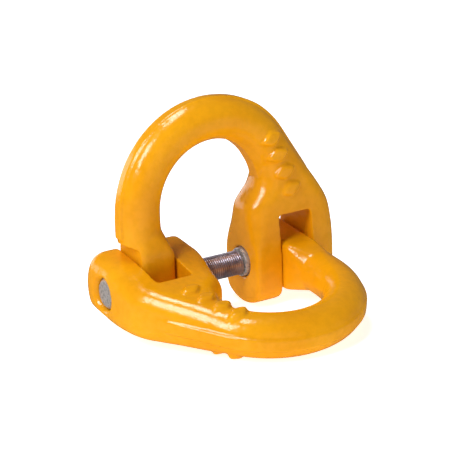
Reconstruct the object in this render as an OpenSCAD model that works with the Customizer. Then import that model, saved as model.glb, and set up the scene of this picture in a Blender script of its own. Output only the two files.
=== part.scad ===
// Coupling link for lifting chain. Two forged half links, each a round bow with
// a two-eared fork on one leg and a single tongue on the other, fold about one
// load pin. A close-wound wire coil sits in the waist of the pin.
//
// Millimetres, +Z up. X runs along the pin. The lower half lies with its bow
// towards -Y, and the upper half stands. The origin is the middle of the
// footprint, on the surface that the link stands on.

/* [Bow] */
// Diameter of the round bar
bar_d = 15; // [13.5:0.5:18]
// Radius of the bow's centre line, from the top to the fork
bow_r = 26.6; // [24:0.2:32]
// How much larger that radius is from the top to the plain leg
leg_swell = 2.4; // [0:0.1:3]
// Height of the bow's centre above the pin axis
bow_h = 28; // [26:0.5:34]
// How far the plain leg stands outside the middle of its tongue
leg_out = 2.8; // [1:0.2:5]
// Width of the parting land round the outside of the bow
land_w = 4.2; // [2:0.2:6]
// Height of the parting land over the bar
land_h = 0.7; // [0.4:0.1:1.2]

/* [Fork] */
// Width of the whole link, over the two outer ears
link_w = 90; // [74:1:110]
// Clear gap between the two inner ears, where the coil shows
gap_w = 20.4; // [16:0.2:26]
// Thickness of each inner ear, along the pin
inner_ear_t = 10.4; // [8:0.2:13]
// Thickness of the fork, across the pin
fork_t = 22; // [20:0.2:27]
// Radius of the ear ends about the pin
ear_r = 15.6; // [14:0.1:19]
// Height of the slot's floor above the pin axis
slot_h = 17.5; // [16.5:0.5:22]
// Height at which the outer ear turns in towards the bow
shoulder_h = 20; // [18:0.5:26]
// Radius of the ears' long edges
ear_corner = 3; // [1:0.5:5]
// Height at which the inner ear begins to open out towards the bow
flare_h = 18.5; // [14:0.5:20]
// Thickness of the fork at its shoulders, where it runs into the bow
shoulder_t = 19.4; // [16:0.2:24]
// Height up to which the fork keeps its full thickness
full_h = 8; // [6:0.5:14]

/* [Tongue] */
// Width of the tongue, along the pin
tongue_w = 13; // [11:0.2:16]
// Thickness of the tongue, across the pin
tongue_t = 17.8; // [16.5:0.2:21]
// Radius of the tongue's end about the pin
tongue_r = 14.1; // [12:0.1:16.5]
// Clearance of the shoulder step over the other half's ear end
step_gap = 0.8; // [0.4:0.1:1.5]
// Clearance between the tongue and each ear
side_gap = 0.3; // [0.2:0.05:0.6]

/* [Load pin] */
// Diameter of the pin
pin_d = 11; // [9:0.5:14]
// how far each end of the load pin stands back from the ear's outer face
pin_inset = 0.5; // [0:0.1:4]
// Radial clearance of the pin in its bores
pin_fit = 0.08; // [0.02:0.01:0.1]
// Chamfer at each end of the pin
pin_chamfer = 1.1; // [0.5:0.1:2]
// How far each shoulder of the pin's waist stands out of the inner ear
waist_lead = 1; // [0.4:0.1:2]

/* [Locking coil] */
// Outside diameter of the coil
coil_d = 8.9; // [7:0.1:10]
// Diameter of its wire
wire_d = 0.8; // [0.6:0.05:1]
// Clearance between neighbouring turns
turn_gap = 0.05; // [0.03:0.01:0.15]
// Radial clearance between the coil and the pin's waist
coil_fit = 0.1; // [0.05:0.01:0.2]
// Clearance between each end of the coil and the pin's shoulders
coil_end_gap = 0.2; // [0.1:0.05:0.5]

/* [Pose] */
// Angle between the two halves at rest, 180 when the link hangs straight
fold_angle = 97; // [85:0.5:180]

/* [Hidden] */
$fn = 64;
hull_fn = 32;
ear_lap = 0.5;                              // overlap of ears and shoulders
over = 2;                                   // how far a cut runs past a face
leg_foot = ear_r * 0.7;                     // well inside the hollow under the leg
lap_h = 0.5;                                // how far the leg's top stands in the bow
lap_a = 1;                                  // how far the bow's two stretches overlap
ledge = 0.04;                               // how much slimmer the inner of two stretches is
bow_foot_a = -14;                           // where the bow ends inside the fork
shoulder_corner = 5;                        // radius of the fork's edges at its shoulders

bar_r = bar_d / 2;
slot_w = tongue_w + 2 * side_gap;
inner_u = gap_w / 2;                        // inner face of the inner ear
slot_u = inner_u + inner_ear_t;             // slot face of the inner ear
outer_u = link_w / 2;                       // outer face of the outer ear
pin_l = link_w - 2 * pin_inset;              // load pin from end to end
tongue_u = slot_u + slot_w / 2;             // middle of slot and tongue
leg_u = tongue_u + leg_out;                 // centre line of the plain leg
bow_u = bow_r + leg_swell - leg_u;          // bow's centre, along the pin
bow_top = bow_h + bow_r + bar_r + land_h;   // top of the land over the pin axis
bore_r = pin_d / 2 + pin_fit;

// tangent from the fork's shoulder up to the outside of the bow
crown_r = bow_r + bar_r;
reach_u = outer_u - bow_u;
reach_v = shoulder_h - bow_h;
reach = norm([reach_u, reach_v]);
crown_a = atan2(reach_v, reach_u) + acos(min(crown_r / reach, 0.98));

// the lower half tips until its bow and the ears' ends stand on one plane
tip_a = asin((ear_r - bar_r) / (bow_h + bow_r));
front_y = bow_top * cos(tip_a) + land_w / 2 * sin(tip_a);
pin_y = (front_y - ear_r) / 2;
pin_z = ear_r;

waist_l = gap_w - 2 * waist_lead;
coil_r = (coil_d - wire_d) / 2;             // centre line of the wire
waist_d = coil_d - 2 * wire_d - 2 * coil_fit;
coil_pitch = wire_d + turn_gap;
coil_turns = floor((waist_l - 2 * coil_end_gap - wire_d) / coil_pitch);
turn_steps = 20;
wire_sides = 6;

// a flat outline in the plane of the bow, given its thickness
module plate(thickness)
    rotate([90, 0, 0]) linear_extrude(thickness, center = true) children();

// an outline seen along the pin, from one place on the pin to another
module across(from, to)
    translate([from, 0, 0]) rotate([90, 0, 90]) linear_extrude(to - from) children();

// section of the parting land, on the outer side of the bar
module land_section(ledge = 0)
    translate([bar_r / 2, ledge - land_w / 2])
        square([bar_r / 2 + land_h - ledge, land_w - 2 * ledge]);

// one stretch of the bow, between two angles about its centre
module bow_arc(from, to, swell = 0)
    translate([bow_u, 0, bow_h - swell]) rotate([90, 0, 0]) rotate([0, 0, from])
        rotate_extrude(angle = to - from) translate([bow_r + swell, 0]) children();

// section of the bar with its land, slimmer by a ledge that the next stretch covers
module bar_section(ledge) {
    circle(bar_r - ledge);
    land_section(ledge);
}

// round bow, from the plain leg over the top and down into the fork
module bow() {
    bow_arc(90 - lap_a, 180, leg_swell) bar_section(ledge);
    bow_arc(bow_foot_a, 90) circle(bar_r);
    bow_arc(crown_a, 90) land_section();
}

// plain leg, let into the bow's end above and hollowed below for the other ear's end
module plain_leg()
    difference() {
        translate([-leg_u, 0, leg_foot])
            linear_extrude(bow_h - leg_swell - leg_foot + lap_h) rotate(180)
                bar_section(2 * ledge);
        rotate([0, -90, 0]) cylinder(h = 2 * leg_u, r = ear_r + step_gap);
    }

// flat-sided tongue that turns in the other half's slot
module tongue() {
    blend_h = bow_h - 3;
    intersection() {
        plate(tongue_t + over) polygon([
            [-tongue_u - tongue_w / 2, -tongue_r - over],
            [-tongue_u + tongue_w / 2, -tongue_r - over],
            [-tongue_u + tongue_w / 2, leg_foot - 6],
            [-leg_u + bar_r - 1, blend_h],
            [-tongue_u - tongue_w / 2, blend_h]]);
        across(-tongue_u - tongue_w, -tongue_u + tongue_w) intersection() {
            union() {
                circle(tongue_r);
                translate([-tongue_r, 0]) square([2 * tongue_r, 2 * bow_h]);
            }
            polygon([[-tongue_t / 2, -tongue_r - over], [tongue_t / 2, -tongue_r - over],
                [tongue_t / 2, ear_r], [bar_r - 1.5, blend_h + over],
                [1.5 - bar_r, blend_h + over], [-tongue_t / 2, ear_r]]);
        }
    }
}

// a slice of the fork with rounded corners, centred on the bow's plane
module fork_slice(from, to, height, thickness, corner)
    for (u = [from + corner, to - corner], side = [-1, 1])
        translate([u, side * (thickness / 2 - corner), height])
            cylinder(h = 1, r = corner, $fn = hull_fn);

// the bar's round section at one angle of the bow, for a blend to start from
module bar_disc(angle)
    translate([bow_u, 0, bow_h]) rotate([0, -angle, 0]) translate([bow_r, 0, 0])
        cylinder(h = 1, r = bar_r, center = true, $fn = hull_fn);

// solid shoulders that carry the bow's round bar down into the two ears
module shoulders() {
    hull() {
        fork_slice(slot_u, outer_u, full_h, fork_t, ear_corner);
        fork_slice(slot_u, outer_u, shoulder_h - 1, shoulder_t, shoulder_corner);
        bar_disc(crown_a);
    }
    hull() {
        fork_slice(inner_u, slot_u + slot_w, full_h, fork_t, ear_corner);
        fork_slice(inner_u, slot_u + slot_w, flare_h - 1, shoulder_t, shoulder_corner);
        bar_disc(bow_foot_a);
        bar_disc(crown_a / 2);
    }
}

// the two ears, one block until the slot is cut, with round ends about the pin
module ears() {
    rotate([90, 0, 90]) translate([0, 0, inner_u]) linear_extrude(outer_u - inner_u)
        intersection() {
            union() {
                circle(ear_r);
                translate([-ear_r, 0]) square([2 * ear_r, full_h + ear_lap]);
            }
            translate([-fork_t / 2, -ear_r - over])
                square([fork_t, ear_r + full_h + ear_lap + over]);
        }
}

// one forged half: pin axis along X, bow towards +Z, fork on the +X side
module half_link() {
    difference() {
        union() {
            bow();
            plain_leg();
            tongue();
            shoulders();
            ears();
        }
        translate([slot_u, -fork_t, -ear_r - over])
            cube([slot_w, 2 * fork_t, ear_r + over + slot_h]);
        rotate([0, 90, 0]) cylinder(h = link_w + 2 * over, r = bore_r, center = true);
    }
}

module at_pin() translate([0, pin_y, pin_z]) children();

// lies on the ground, its bow towards -Y and its fork on the -X side
module lower_half() color("#F2A71B")
    at_pin() rotate([90 + tip_a, 0, 0]) rotate([0, 0, 180]) half_link();

// stands at the fold angle, its fork on the +X side
module upper_half() color("#F7B02A")
    at_pin() rotate([90 + tip_a - fold_angle, 0, 0]) half_link();

// one end of the pin, from the middle of the waist outwards
module pin_end() {
    cylinder(h = waist_l / 2 + 0.1, d = waist_d);
    translate([0, 0, waist_l / 2]) cylinder(h = waist_lead / 2, d1 = pin_d - waist_lead, d2 = pin_d);
    translate([0, 0, (waist_l + waist_lead) / 2])
        cylinder(h = (pin_l - waist_l - waist_lead) / 2 - pin_chamfer, d = pin_d);
    translate([0, 0, pin_l / 2 - pin_chamfer])
        cylinder(h = pin_chamfer, d1 = pin_d, d2 = pin_d - 2 * pin_chamfer);
}

// straight pin with chamfered ends and a waist between the inner ears
module load_pin() color("#A9A7A6")
    at_pin() for (side = [90, -90]) rotate([0, side, 0]) pin_end();

// one ring of points round the wire, at a step along the helix
function wire_ring(step) = [
    for (side = [0 : wire_sides - 1])
        let (turn = 360 * step / turn_steps, a = 360 * side / wire_sides + 30,
             r = coil_r + wire_d / 2 * cos(a),
             x = coil_pitch * (step / turn_steps - coil_turns / 2) + wire_d / 2 * sin(a))
        [x, r * cos(turn), r * sin(turn)]];

// close-wound coil, one wire swept along its helix
module locking_coil() {
    last = coil_turns * turn_steps;
    points = [for (step = [0 : last]) each wire_ring(step)];
    skin = [for (step = [0 : last - 1], side = [0 : wire_sides - 1])
        let (a = step * wire_sides + side, b = step * wire_sides + (side + 1) % wire_sides)
        [a, b, b + wire_sides, a + wire_sides]];
    start_cap = [for (side = [wire_sides - 1 : -1 : 0]) side];
    end_cap = [for (side = [0 : wire_sides - 1]) last * wire_sides + side];
    color("#9C8B93") at_pin() polyhedron(points, concat(skin, [start_cap, end_cap]));
}

lower_half();
upper_half();
load_pin();
locking_coil();
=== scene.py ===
import math

import bmesh
import bpy
from mathutils import Matrix, Vector


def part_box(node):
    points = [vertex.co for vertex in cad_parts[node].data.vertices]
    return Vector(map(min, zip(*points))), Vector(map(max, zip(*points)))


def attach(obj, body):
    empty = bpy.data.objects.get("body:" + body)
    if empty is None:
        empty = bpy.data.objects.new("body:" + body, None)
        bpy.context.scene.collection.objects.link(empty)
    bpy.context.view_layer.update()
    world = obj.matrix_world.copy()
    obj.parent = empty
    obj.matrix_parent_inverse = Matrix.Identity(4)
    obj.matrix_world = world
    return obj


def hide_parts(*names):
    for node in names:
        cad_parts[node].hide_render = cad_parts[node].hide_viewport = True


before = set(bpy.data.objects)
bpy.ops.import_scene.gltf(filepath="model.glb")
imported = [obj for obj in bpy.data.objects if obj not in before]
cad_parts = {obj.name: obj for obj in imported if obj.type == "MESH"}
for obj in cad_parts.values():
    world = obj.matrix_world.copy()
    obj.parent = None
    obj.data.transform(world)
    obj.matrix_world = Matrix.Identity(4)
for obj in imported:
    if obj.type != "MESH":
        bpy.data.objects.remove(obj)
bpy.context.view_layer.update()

scene = bpy.context.scene
mm = 0.001
print("frame loaded")


# meshes are built in millimetres and scaled to metres as they are placed

def ringsToMesh(bm, rings):
    # skins a list of equal rings, with a cap at each end
    loops = [[bm.verts.new(point) for point in ring] for ring in rings]
    count = len(loops[0])
    for low, high in zip(loops, loops[1:]):
        for i in range(count):
            j = (i + 1) % count
            bm.faces.new((low[i], low[j], high[j], high[i]))
    bm.faces.new(list(reversed(loops[0])))
    bm.faces.new(loops[-1])


def addHull(bm, points):
    verts = [bm.verts.new(point) for point in points]
    result = bmesh.ops.convex_hull(bm, input=verts)
    loose = [item for item in result["geom_interior"] + result["geom_unused"]
             if isinstance(item, bmesh.types.BMVert) and item.is_valid]
    bmesh.ops.delete(bm, geom=list(set(loose)), context="VERTS")


def circlePoints(radius, count):
    return [(radius * math.cos(2 * math.pi * i / count),
             radius * math.sin(2 * math.pi * i / count)) for i in range(count)]


def grow(value, start, length):
    # 0 up to the start, then a straight rise to 1 over the length
    return min(1.0, max(0.0, (value - start) / length))


def makeObject(name, bm, matrix=None):
    bmesh.ops.recalc_face_normals(bm, faces=bm.faces)
    mesh = bpy.data.meshes.new(name)
    bm.to_mesh(mesh)
    bm.free()
    if matrix is not None:
        mesh.transform(matrix)
    obj = bpy.data.objects.new(name, mesh)
    scene.collection.objects.link(obj)
    return obj


def bake(obj):
    # swaps the object's mesh for what its modifiers make of it
    graph = bpy.context.evaluated_depsgraph_get()
    mesh = bpy.data.meshes.new_from_object(obj.evaluated_get(graph))
    old = obj.data
    obj.modifiers.clear()
    obj.data = mesh
    bpy.data.meshes.remove(old)


def remeshAndSmooth(obj, voxel, passes):
    remesh = obj.modifiers.new("union", "REMESH")
    remesh.mode = "VOXEL"
    remesh.voxel_size = voxel
    smooth = obj.modifiers.new("blend", "SMOOTH")
    smooth.factor = 0.5
    smooth.iterations = passes
    bake(obj)


def drop(obj):
    mesh = obj.data
    bpy.data.objects.remove(obj)
    bpy.data.meshes.remove(mesh)


def merge(target, other):
    # adds the other object's mesh to the target's and drops the object
    bm = bmesh.new()
    bm.from_mesh(target.data)
    bm.from_mesh(other.data)
    bm.to_mesh(target.data)
    bm.free()
    drop(other)


def cut(obj, cutter):
    boolean = obj.modifiers.new("cut", "BOOLEAN")
    boolean.operation = "DIFFERENCE"
    boolean.solver = "MANIFOLD"
    boolean.object = cutter
    bake(obj)
    drop(cutter)


# forged half link: pin axis along X, bow towards +Z, thickness along Y
half = {
    "barR": 7.5,          # round bar
    "bowR": 26.6,         # bow's centre line, from the top to the fork
    "legSwell": 2.4,      # larger on the plain side
    "bowH": 28.0,         # bow's centre over the pin
    "legOut": 2.8,        # how far the plain leg stands outside the tongue's middle
    "bowFoot": -14.0,     # degrees, where the bow ends inside the fork
    "linkW": 90.0,
    "gapW": 20.4,         # between the inner ears
    "innerEarT": 10.4,
    "forkT": 22.0,
    "shoulderH": 20.0,    # where the fork's outer shoulder starts
    "earR": 15.6,
    "earEase": 5.0,       # easing between the round end and the flat sides
    "earTop": 4.0,        # the ears' block ends here, inside the fork
    "innerEdge": 1.4,
    "outerEdge": 6.6,
    "domeOut": 0.8,       # swell of the outer face round the pin
    "slotH": 17.5,
    "slotCorner": 1.4,
    "tongueW": 13.0,
    "tongueT": 17.8,
    "tongueR": 14.1,
    "tongueEdge": 1.2,
    "tongueEndEase": 0.94,   # how far the round end's sides are drawn in
    "tongueTop": 12.2,       # flat up to here, then it runs into the leg
    "tongueIntoLeg": 20.5,
    "sideGap": 0.3,       # tongue to ear
    "stepGap": 0.8,       # leg to the other half's ear
    "boreR": 5.58,
    "innerMouth": (1.0, 0.5, 1.0),   # out of the face, into the bore, widening
    "outerMouth": (1.0, 0.8, 0.8),
    "blankVoxel": 0.5,
    "finalVoxel": 0.42,
}
slotW = half["tongueW"] + 2 * half["sideGap"]
innerU = half["gapW"] / 2
slotU = innerU + half["innerEarT"]
outerU = half["linkW"] / 2
tongueU = slotU + slotW / 2
legU = tongueU + half["legOut"]
bowU = half["bowR"] + half["legSwell"] - legU
reachU = outerU - bowU
reachV = half["shoulderH"] - half["bowH"]
crownR = half["bowR"] + half["barR"]
# where the straight shoulder meets the bow
crownA = math.atan2(reachV, reachU) + math.acos(crownR / math.hypot(reachU, reachV))


def bowPoint(angle):
    # a point on the bow's centre line and the outward direction there
    swell = half["legSwell"] if angle > math.pi / 2 else 0.0
    normal = Vector((math.cos(angle), 0, math.sin(angle)))
    centre = Vector((bowU, 0, half["bowH"] - swell))
    return centre + normal * (half["bowR"] + swell), normal


def legAndBow(fromHeight, toAngle, step=1.5):
    # stations along the plain leg from a height, then round the bow to an angle
    stations = []
    top = half["bowH"] - half["legSwell"]
    legSteps = max(2, round((top - fromHeight) / step))
    for i in range(legSteps):
        height = fromHeight + (top - fromHeight) * i / legSteps
        stations.append((Vector((-legU, 0, height)), Vector((-1, 0, 0))))
    arcSteps = round((math.pi - toAngle) * half["bowR"] / step)
    for i in range(arcSteps + 1):
        stations.append(bowPoint(math.pi + (toAngle - math.pi) * i / arcSteps))
    return stations


def sweep(bm, stations, sectionAt):
    # a section is (out, across) pairs, for a place from 0 to 1 along the way
    rings = []
    for i, (centre, normal) in enumerate(stations):
        points = sectionAt(i / (len(stations) - 1))
        rings.append([centre + normal * out + Vector((0, across, 0)) for out, across in points])
    ringsToMesh(bm, rings)


def barAt(place):
    return circlePoints(half["barR"], 64)


# the fork's cross-sections going up from the pin: height, inner and outer side along the pin,
# half thickness, then the radius of the edges on the eye's side and on the outside
forkSections = [
    (2.0, 10.2, 45.8, 11.0, 1.2, 6.6),
    (6.0, 10.2, 45.8, 10.8, 2.0, 6.6),
    (10.0, 10.2, 45.7, 10.5, 3.9, 6.6),
    (13.0, 10.2, 45.5, 10.1, 5.5, 6.6),
    (16.0, 10.2, 45.2, 9.8, 6.6, 6.6),
    (19.0, 10.2, 44.6, 9.4, 7.2, 6.6),
    (21.5, 10.9, 43.4, 9.3, 7.4, 6.5),
    (24.0, 12.9, 42.1, 9.0, 7.5, 6.8),
    (27.0, 15.2, 40.3, 8.7, 7.6, 7.0),
    (31.0, 16.6, 37.6, 8.4, 7.6, 7.3),
    (35.0, 16.8, 34.9, 8.2, 7.5, 7.5),
    (40.0, 14.8, 31.6, 7.8, 7.4, 7.4),
    (44.0, 12.7, 28.8, 7.4, 7.2, 7.2),
]


def between(sections, height):
    for low, high in zip(sections, sections[1:]):
        if height <= high[0]:
            part = (height - low[0]) / (high[0] - low[0])
            return [a + (b - a) * part for a, b in zip(low[1:], high[1:])]
    return list(sections[-1][1:])


def addFork(bm, levels=42):
    low, high = forkSections[0][0], forkSections[-1][0]
    rings = []
    for i in range(levels + 1):
        height = low + (high - low) * i / levels
        inside, outside, thick, innerEdge, outerEdge = between(forkSections, height)
        corners = ((outside, -1, 1, outerEdge), (inside, 1, 1, innerEdge),
                   (inside, 1, -1, innerEdge), (outside, -1, -1, outerEdge))
        ring = []
        for quarter, (u, inward, side, edge) in enumerate(corners):
            for step in range(9):
                a = math.pi / 2 * (quarter + step / 8)
                ring.append((u + inward * edge + edge * math.cos(a),
                             side * (thick - edge) + edge * math.sin(a), height))
        rings.append(ring)
    ringsToMesh(bm, rings)


def earOutline(inset):
    # round end about the pin, its sides flat and the corners between them eased
    thick = half["forkT"] / 2 - inset
    radius = half["earR"] - inset
    ease = max(0.4, half["earEase"] - inset)
    cornerY = thick - ease
    cornerZ = -math.sqrt((radius - ease) ** 2 - cornerY ** 2)
    turnA = math.atan2(cornerZ, cornerY)
    points = [(thick, half["earTop"])]
    for i in range(9):
        a = turnA * i / 8
        points.append((cornerY + ease * math.cos(a), cornerZ + ease * math.sin(a)))
    for i in range(1, 24):
        a = turnA + (-math.pi - 2 * turnA) * i / 24
        points.append((radius * math.cos(a), radius * math.sin(a)))
    for i in range(8, -1, -1):
        a = turnA * i / 8
        points.append((-cornerY - ease * math.cos(a), cornerZ + ease * math.sin(a)))
    points.append((-thick, half["earTop"]))
    return points


def addEars(bm):
    # one block until the slot is cut, its long edges rounded
    stations = []
    for u, direction, edge in ((innerU, 1, half["innerEdge"]),
                               (outerU + half["domeOut"], -1, half["outerEdge"])):
        eased = []
        for i in range(7):
            a = math.pi / 2 * i / 6
            eased.append((u + direction * edge * (1 - math.cos(a)), edge * (1 - math.sin(a))))
        stations += eased[::direction]
    ringsToMesh(bm, [[(u, y, z) for y, z in earOutline(inset)] for u, inset in stations])


def addTongue(bm):
    # hull of the flat tongue below and the round leg above
    thick = half["tongueT"] / 2
    edge = half["tongueEdge"]
    ease = half["tongueEndEase"]
    top = half["tongueTop"]
    sides = [(side, -tongueU + side * half["tongueW"] / 2) for side in (-1, 1)]
    points = []
    for side, u in sides:
        for i in range(33):
            angle = math.pi + math.pi * i / 32
            y = max(-thick, min(thick, half["tongueR"] * math.cos(angle)))
            z = half["tongueR"] * math.sin(angle)
            points.append((u - side * edge, y, z))
            points.append((u, max(-thick + edge, min(thick - edge, y * ease)), z * ease))
    for side, u in sides:
        for y in (-thick, thick):
            points.append((u - side * edge, y, top))
            points.append((u, math.copysign(thick - edge, y), top))
    for x, y in circlePoints(half["barR"] - 0.3, 48):
        points.append((-legU + x, y, half["tongueIntoLeg"]))
    addHull(bm, points)


# raised land where the dies parted: outside round leg, bow and shoulder, and a low one inside
land = {
    "width": 4.2,
    "height": 0.7,
    "edge": 0.3,
    "root": 2.0,          # how deep it is set into the bar
    "foot": 18.2,         # its end over the other half's ear
    "shoulderL": 27.0,    # how far it runs down the shoulder
    "lowOverBow": 0.5,
    "lowOverFork": 0.35,
    "innerFrom": 78.0,    # degrees round the bow
    "innerTo": -20.0,
}


def landOutline():
    points = []
    for i in range(9):
        a = math.pi / 2 * i / 8
        points.append((half["barR"] + land["height"] - land["edge"] * (1 - math.cos(a)),
                       land["width"] / 2 - land["edge"] * (1 - math.sin(a))))
    points.append((half["barR"] - land["root"], land["width"] / 2 + 0.4))
    return points + [(out, -across) for out, across in reversed(points)]


def landAt(place):
    # low over the bow and down the shoulder, and gone at its end
    overBow = grow(place, 0.05, 0.12) * (1 - grow(place, 0.55, 0.15))
    overFork = 1 - grow(1 - place, 0.0, 0.3)
    lift = -land["lowOverBow"] * overBow - land["lowOverFork"] * overFork - grow(place, 0.94, 0.06)
    return [(out + lift, across) for out, across in landOutline()]


def innerLandAt(place):
    # grows out of the bar over the first stretch
    face = -half["barR"] + 0.4 - 1.5 * grow(place, 0.0, 0.45)
    return [(face, 2.9), (face + 2.4, 4.6), (face + 2.4, -4.6), (face, -2.9)]


def shoulderLine(length, steps=12):
    # straight on from the bow's crown, down the fork's outer shoulder
    start, normal = bowPoint(crownA)
    along = Vector((math.sin(crownA), 0, -math.cos(crownA)))
    return [(start + along * length * i / steps, normal) for i in range(1, steps + 1)]


def addLands(forging):
    bm = bmesh.new()
    sweep(bm, legAndBow(land["foot"], crownA) + shoulderLine(land["shoulderL"]), landAt)
    turn = land["innerTo"] - land["innerFrom"]
    inner = [bowPoint(math.radians(land["innerFrom"] + turn * i / 40)) for i in range(41)]
    sweep(bm, inner, innerLandAt)
    merge(forging, makeObject("lands", bm))
    forging.data.update()


# a row of plain raised lozenges down the fork's shoulder, on both faces
marks = {
    "count": 4,
    "pitch": 6.7,
    "start": (19.9, 0, 45.4),
    "end": (26.5, 0, 26.1),    # the row heads for here
    "size": (2.3, 3.7),
    "height": 1.15,
    "squareness": 1.4,         # 1 is a straight-sided lozenge, 2 an ellipse
}


def addLozenge(bm, centre, along, across, up):
    # sloping sides, and a foot sunk into the face
    power = marks["squareness"]
    rings = []
    for level, scale in ((-1.5, 1.35), (marks["height"] * 0.6, 1.0), (marks["height"], 0.72)):
        ring = []
        for i in range(24):
            a = 2 * math.pi * i / 24
            c, s = math.cos(a), math.sin(a)
            reach = scale / (abs(c) ** power + abs(s) ** power) ** (1 / power)
            ring.append(centre + along * (c * reach * marks["size"][0])
                        + across * (s * reach * marks["size"][1]) + up * level)
        rings.append(ring)
    ringsToMesh(bm, rings)


def addMarks(forging):
    start = Vector(marks["start"])
    alongRow = (Vector(marks["end"]) - start).normalized()
    bpy.context.view_layer.update()
    bm = bmesh.new()
    for side in (-1, 1):
        for i in range(marks["count"]):
            spot = start + alongRow * (marks["pitch"] * i)
            above = Vector((spot.x, side * 40, spot.z))
            hit, place, normal, index = forging.ray_cast(above, Vector((0, -side, 0)))
            across = normal.cross(alongRow).normalized()
            along = across.cross(normal).normalized()
            addLozenge(bm, place, along, across, normal)
    merge(forging, makeObject("marks", bm))


def cutSlot(forging, past=30):
    # open at the bottom, with rounded corners at its roof
    corner = half["slotCorner"]
    loop = []
    for x, start in ((slotU + slotW - corner, 0), (slotU + corner, 90)):
        for i in range(9):
            a = math.radians(start + 90 * i / 8)
            loop.append((x + corner * math.cos(a), half["slotH"] - corner + corner * math.sin(a)))
    loop += [(slotU, -past), (slotU + slotW, -past)]
    bm = bmesh.new()
    ringsToMesh(bm, [[(x, y, z) for x, z in loop] for y in (-past, past)])
    cut(forging, makeObject("slotCutter", bm))


def cutRound(forging, stations, sides=96):
    # a round cutter on the pin's axis, through (place, radius) stations
    bm = bmesh.new()
    ringsToMesh(bm, [[(u, y, z) for y, z in circlePoints(radius, sides)]
                     for u, radius in stations])
    cut(forging, makeObject("roundCutter", bm))


def cutHollowsAndBores(forging):
    # room for the other half's ears on both sides of the tongue
    hollowR = half["earR"] + half["stepGap"]
    tongueOut = -tongueU - half["tongueW"] / 2
    tongueIn = -tongueU + half["tongueW"] / 2
    cutRound(forging, [(-60, hollowR), (tongueOut + 0.02, hollowR)], 128)
    cutRound(forging, [(tongueIn - 0.02, hollowR), (-5, hollowR)], 128)
    for face, outward, (out, into, widening) in ((innerU, -1, half["innerMouth"]),
                                                 (outerU, 1, half["outerMouth"])):
        mouthR = half["boreR"] + (out + into) * widening
        cutRound(forging, [(face + outward * out, mouthR),
                           (face - outward * into, half["boreR"] - 0.05)])
    for start, end in ((-50, -10), (innerU - 4, slotU + 4), (slotU + slotW - 4, outerU + 4)):
        cutRound(forging, [(start, half["boreR"]), (end, half["boreR"])])


def forgeHalf():
    bm = bmesh.new()
    sweep(bm, legAndBow(half["earR"] * 0.7, math.radians(half["bowFoot"])), barAt)
    addFork(bm)
    addEars(bm)
    addTongue(bm)
    forging = makeObject("forging", bm)
    remeshAndSmooth(forging, half["blankVoxel"], 24)
    print("half link: blended blank", len(forging.data.polygons), "faces")
    addLands(forging)
    addMarks(forging)
    cutSlot(forging)
    cutHollowsAndBores(forging)
    remeshAndSmooth(forging, half["finalVoxel"], 3)
    print("half link: finished forging", len(forging.data.polygons), "faces")
    return forging


def linear(hexColour):
    # sRGB hex to the linear colour that the shaders take
    channels = [int(hexColour[i:i + 2], 16) / 255 for i in (1, 3, 5)]
    return [c / 12.92 if c <= 0.04045 else ((c + 0.055) / 1.055) ** 2.4 for c in channels] + [1.0]


def addNode(tree, kind, inputs=None, **settings):
    # a node with its settings, its values, and links where a value is another node's socket
    node = tree.nodes.new(kind)
    for key, value in settings.items():
        setattr(node, key, value)
    for key, value in (inputs or {}).items():
        if isinstance(value, bpy.types.NodeSocket):
            tree.links.new(value, node.inputs[key])
        else:
            node.inputs[key].default_value = value
    return node


def ramp(tree, factor, stops):
    node = addNode(tree, "ShaderNodeValToRGB", {"Fac": factor})
    for element, (place, colour) in zip(node.color_ramp.elements, stops):
        element.position = place
        element.color = colour
    return node.outputs["Color"]


def grey(value):
    return (value, value, value, 1.0)


def grain(size):
    # noise scale for grains this many millimetres wide
    return 1 / (size * mm)


def ringScale(pitch):
    # wave scale for rings this many millimetres apart
    return 2 * math.pi / (20 * pitch * mm)


def newMaterial(name):
    material = bpy.data.materials.new(name)
    material.use_nodes = True
    tree = material.node_tree
    tree.nodes.clear()
    shader = tree.nodes.new("ShaderNodeBsdfPrincipled")
    output = tree.nodes.new("ShaderNodeOutputMaterial")
    tree.links.new(shader.outputs["BSDF"], output.inputs["Surface"])
    coords = tree.nodes.new("ShaderNodeTexCoord").outputs["Object"]
    return material, tree, shader, coords


mixFactor, mixA, mixB, mixResult = 0, 6, 7, 2  # a colour mix node's sockets


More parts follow.
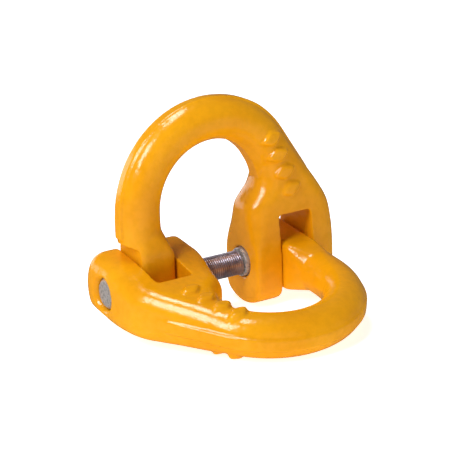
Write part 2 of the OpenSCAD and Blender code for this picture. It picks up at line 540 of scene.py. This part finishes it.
def yellowEnamel():
    # thick glossy enamel over a forging: softly uneven colour, orange peel, a few pinholes,
    # and painted shade darkening the creases
    material, tree, shader, coords = newMaterial("yellowEnamel")
    cloud = addNode(tree, "ShaderNodeTexNoise", {"Vector": coords, "Scale": grain(22.2),
                                                 "Detail": 3.0})
    fine = addNode(tree, "ShaderNodeTexNoise", {"Vector": coords, "Scale": grain(2.38),
                                                "Detail": 4.0, "Roughness": 0.6})
    base = ramp(tree, cloud.outputs["Fac"], [(0.3, linear("#E69806")), (0.7, linear("#F2A70F"))])
    speckle = ramp(tree, fine.outputs["Fac"], [(0.35, grey(0.75)), (0.6, grey(1.0))])
    mottle = addNode(tree, "ShaderNodeMix", data_type="RGBA", blend_type="MULTIPLY",
                     inputs={mixFactor: 0.25, mixA: base, mixB: speckle})
    # painted shade: where the surface is concave (low pointiness) the colour is mixed toward a
    # darker orange, standing in for the shade that falls in creases
    geometry = tree.nodes.new("ShaderNodeNewGeometry")
    creaseShadeMask = ramp(tree, geometry.outputs["Pointiness"], [(0.40, grey(0.0)), (0.49, grey(1.0))])
    paintedCreaseShade = addNode(tree, "ShaderNodeMix", data_type="RGBA", blend_type="MIX",
                     inputs={mixFactor: creaseShadeMask, mixA: linear("#C87C02"),
                             mixB: mottle.outputs[mixResult]})
    tree.links.new(paintedCreaseShade.outputs[mixResult], shader.inputs["Base Color"])
    gloss = addNode(tree, "ShaderNodeMapRange", {"Value": fine.outputs["Fac"], "From Min": 0.3,
                                                 "From Max": 0.7, "To Min": 0.13, "To Max": 0.24})
    tree.links.new(gloss.outputs["Result"], shader.inputs["Roughness"])
    shader.inputs["IOR"].default_value = 1.5
    # runs and sags, then orange peel, then pinholes
    wave = addNode(tree, "ShaderNodeTexNoise", {"Vector": coords, "Scale": grain(9.09),
                                                "Detail": 2.0})
    peel = addNode(tree, "ShaderNodeTexNoise", {"Vector": coords, "Scale": grain(1.613),
                                                "Detail": 2.0})
    pits = addNode(tree, "ShaderNodeTexVoronoi", {"Vector": coords, "Scale": grain(4.762)})
    pitDepth = addNode(tree, "ShaderNodeMapRange", {"Value": pits.outputs["Distance"],
                                                    "From Min": 0.04, "From Max": 0.14})
    waveBump = addNode(tree, "ShaderNodeBump", {"Height": wave.outputs["Fac"], "Strength": 1.0,
                                                "Distance": 0.45 * mm})
    peelBump = addNode(tree, "ShaderNodeBump", {"Height": peel.outputs["Fac"], "Strength": 1.0,
                                                "Distance": 0.08 * mm,
                                                "Normal": waveBump.outputs["Normal"]})
    pitBump = addNode(tree, "ShaderNodeBump", {"Height": pitDepth.outputs["Result"],
                                               "Strength": 0.6, "Distance": 0.05 * mm,
                                               "Normal": peelBump.outputs["Normal"]})
    tree.links.new(pitBump.outputs["Normal"], shader.inputs["Normal"])
    return material


def groundPinSteel():
    # ground alloy steel gone dull: fine rings, and specks of bare metal in a grey film.
    # Both are drawn coarser than they are, so that they show
    material, tree, shader, coords = newMaterial("groundPinSteel")
    shader.inputs["Roughness"].default_value = 0.42
    blotch = addNode(tree, "ShaderNodeTexNoise", {"Vector": coords, "Scale": grain(1.111),
                                                  "Detail": 3.0})
    tone = ramp(tree, blotch.outputs["Fac"], [(0.38, linear("#8C8887")),
                                              (0.58, linear("#D2CECC"))])
    tree.links.new(tone, shader.inputs["Base Color"])
    bare = addNode(tree, "ShaderNodeMapRange", {"Value": blotch.outputs["Fac"], "From Min": 0.4,
                                                "From Max": 0.6, "To Min": 0.2, "To Max": 0.75})
    tree.links.new(bare.outputs["Result"], shader.inputs["Metallic"])
    grind = addNode(tree, "ShaderNodeTexWave", bands_direction="X",
                    inputs={"Vector": coords, "Scale": ringScale(0.2856), "Distortion": 1.5,
                            "Detail": 2.0})
    grindBump = addNode(tree, "ShaderNodeBump", {"Height": grind.outputs["Fac"],
                                                 "Strength": 0.35, "Distance": 0.01 * mm})
    tree.links.new(grindBump.outputs["Normal"], shader.inputs["Normal"])
    return material


def drawnSpringWire():
    # drawn steel wire with a mauve tint, darker than the pin and cloudy
    material, tree, shader, coords = newMaterial("drawnSpringWire")
    shader.inputs["Metallic"].default_value = 0.9
    shader.inputs["Roughness"].default_value = 0.3
    cloud = addNode(tree, "ShaderNodeTexNoise", {"Vector": coords, "Scale": grain(3.333),
                                                 "Detail": 3.0})
    tone = ramp(tree, cloud.outputs["Fac"], [(0.3, linear("#8E869C")), (0.65, linear("#D4CDDD"))])
    tree.links.new(tone, shader.inputs["Base Color"])
    return material


def paleSweep():
    # matt paper, lit from within a little so that it washes out to white
    material, tree, shader, coords = newMaterial("paleSweep")
    shader.inputs["Roughness"].default_value = 0.9
    haze = addNode(tree, "ShaderNodeTexNoise", {"Vector": coords, "Scale": grain(500)})
    tone = ramp(tree, haze.outputs["Fac"], [(0.3, linear("#F2F2F0")), (0.7, linear("#F6F6F4"))])
    tree.links.new(tone, shader.inputs["Base Color"])
    shader.inputs["Emission Color"].default_value = linear("#FFFFFF")
    shader.inputs["Emission Strength"].default_value = 0.75
    return material


def finishPiece(obj, material, body, node):
    obj.data.materials.clear()
    obj.data.materials.append(material)
    obj.data.polygons.foreach_set("use_smooth", [True] * len(obj.data.polygons))
    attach(obj, body)
    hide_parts(node)


# the link rests on its ears' ends and on the lower bow, with the upper half folded up
foldA = math.radians(97)
tipA = math.asin((half["earR"] - half["barR"]) / (half["bowH"] + half["bowR"]))
pinLow, pinHigh = [Vector(corner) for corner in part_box("load_pin")]
atPin = Matrix.Translation((pinLow + pinHigh) / 2)
toMetres = Matrix.Scale(mm, 4)
alongX = atPin @ toMetres @ Matrix.Rotation(math.pi / 2, 4, "Y")
lowerTurn = Matrix.Rotation(math.pi / 2 + tipA, 4, "X") @ Matrix.Rotation(math.pi, 4, "Z")
upperTurn = Matrix.Rotation(math.pi / 2 + tipA - foldA, 4, "X")

forging = forgeHalf()
enamel = yellowEnamel()
for name, body, turn in (("lower_half_forging", "lower_half", lowerTurn),
                         ("upper_half_forging", "upper_half", upperTurn)):
    mesh = forging.data.copy()
    mesh.transform(atPin @ turn @ toMetres)
    piece = bpy.data.objects.new(name, mesh)
    scene.collection.objects.link(piece)
    finishPiece(piece, enamel, body, body)
drop(forging)
print("both halves placed")

pin = {
    "length": 89.0,
    "radius": 5.5,
    "chamfer": 1.1,
    "waistL": 18.4,
    "waistR": 3.55,
    "shoulderR": 5.2,     # ring at each end of the waist
    "shoulderL": 1.9,
    "crispAngle": 40,     # degrees, edges sharper than this stay sharp
}


def turnPin():
    # (place, radius) from the middle outwards, then mirrored
    end = pin["length"] / 2
    waistEnd = pin["waistL"] / 2
    shoulderR = pin["shoulderR"]
    chamferR = pin["radius"] - pin["chamfer"]
    outwards = [(0.0, pin["waistR"]), (waistEnd, pin["waistR"]),
                (waistEnd + 0.02, shoulderR - 0.3), (waistEnd + 0.1, shoulderR - 0.1),
                (waistEnd + 0.25, shoulderR), (waistEnd + pin["shoulderL"], shoulderR),
                (waistEnd + pin["shoulderL"] + 0.3, pin["radius"])]
    outwards += [(z, pin["radius"]) for z in range(14, 39, 6)]
    outwards += [(end - pin["chamfer"] - 0.1, pin["radius"]),
                 (end - pin["chamfer"] + 0.06, pin["radius"] - 0.08),
                 (end - 0.1, chamferR + 0.12), (end - 0.02, chamferR),
                 (end, chamferR - 0.12), (end, 2.0), (end, 0.6)]
    profile = [(-z, r) for z, r in reversed(outwards[1:])] + outwards
    bm = bmesh.new()
    ringsToMesh(bm, [[(x, y, z) for x, y in circlePoints(r, 96)] for z, r in profile])
    piece = makeObject("load_pin_turned", bm, alongX)
    finishPiece(piece, groundPinSteel(), "pin", "load_pin")
    crisp = piece.modifiers.new("crisp", "EDGE_SPLIT")
    crisp.split_angle = math.radians(pin["crispAngle"])
    bake(piece)


coil = {
    "radius": 4.05,       # to the middle of the wire
    "wireR": 0.37,
    "pitch": 0.85,
    "turns": 20,
    "steps": 36,
    "sides": 12,
}


def windCoil():
    rings = []
    for i in range(coil["turns"] * coil["steps"] + 1):
        turn = 2 * math.pi * i / coil["steps"]
        z = coil["pitch"] * (i / coil["steps"] - coil["turns"] / 2)
        outward = Vector((math.cos(turn), math.sin(turn), 0))
        rings.append([outward * (coil["radius"] + x) + Vector((0, 0, z + y))
                      for x, y in circlePoints(coil["wireR"], coil["sides"])])
    bm = bmesh.new()
    ringsToMesh(bm, rings)
    piece = makeObject("locking_coil_wire", bm, alongX)
    finishPiece(piece, drawnSpringWire(), "coil", "locking_coil")


turnPin()
windCoil()
print("pin and coil made")


def layFloor(reach):
    bm = bmesh.new()
    for x, y in ((-reach, -reach), (reach, -reach), (reach, reach), (-reach, reach)):
        bm.verts.new((x, y, 0))
    bm.faces.new(bm.verts)
    floor = makeObject("floor", bm)
    floor.data.materials.append(paleSweep())
    floor.visible_glossy = False  # so that the paint does not go milky


def softbox(name, place, width, height, power, glossy=True):
    light = bpy.data.lights.new(name, "AREA")
    light.shape = "RECTANGLE"
    light.size = width
    light.size_y = height
    light.energy = power
    obj = bpy.data.objects.new(name, light)
    scene.collection.objects.link(obj)
    obj.location = place
    aim = Vector((0.0, 0.0, 0.035)) - Vector(place)  # the middle of the link
    obj.rotation_euler = aim.to_track_quat("-Z", "Y").to_euler()
    obj.visible_glossy = glossy


layFloor(3.0)
world = bpy.data.worlds.new("studio")
scene.world = world
world.use_nodes = True
background = world.node_tree.nodes["Background"]
background.inputs["Color"].default_value = (1, 1, 1, 1)
background.inputs["Strength"].default_value = 0.1
softbox("topBox", (-0.12, 0.1, 1.03), 0.4, 0.25, 4.3)
softbox("leftBox", (-0.75, -0.2, 0.7), 0.3, 0.5, 6.2)
softbox("backWall", (-0.25, 1.2, 0.26), 1.2, 0.5, 3.6)
softbox("frontFill", (-0.2, -1.2, 0.32), 0.8, 0.8, 2.3, glossy=False)

shot = {
    "azimuth": 30.96,     # degrees from the front, to the left
    "elevation": 16.64,
    "roll": -2.9,
    "distance": 0.5057,
    "aim": (0.00533, 0.02516, 0.0298),
    "lens": 114.2,
}
azimuth, elevation, roll = [math.radians(shot[key]) for key in ("azimuth", "elevation", "roll")]
back = Vector((-math.sin(azimuth) * math.cos(elevation),
               -math.cos(azimuth) * math.cos(elevation), math.sin(elevation)))
level = Vector((math.cos(azimuth), -math.sin(azimuth), 0))
right = level * math.cos(roll) + back.cross(level) * math.sin(roll)
up = back.cross(right)
cameraData = bpy.data.cameras.new("camera")
cameraData.sensor_width = 36
cameraData.lens = shot["lens"]
cameraData.clip_start = 0.05
camera = bpy.data.objects.new("camera", cameraData)
scene.collection.objects.link(camera)
facing = Matrix((right, up, back)).transposed().to_4x4()
camera.matrix_world = Matrix.Translation(Vector(shot["aim"]) + back * shot["distance"]) @ facing
scene.camera = camera
scene.view_settings.view_transform = "Standard"
print("floor, lights and camera set")
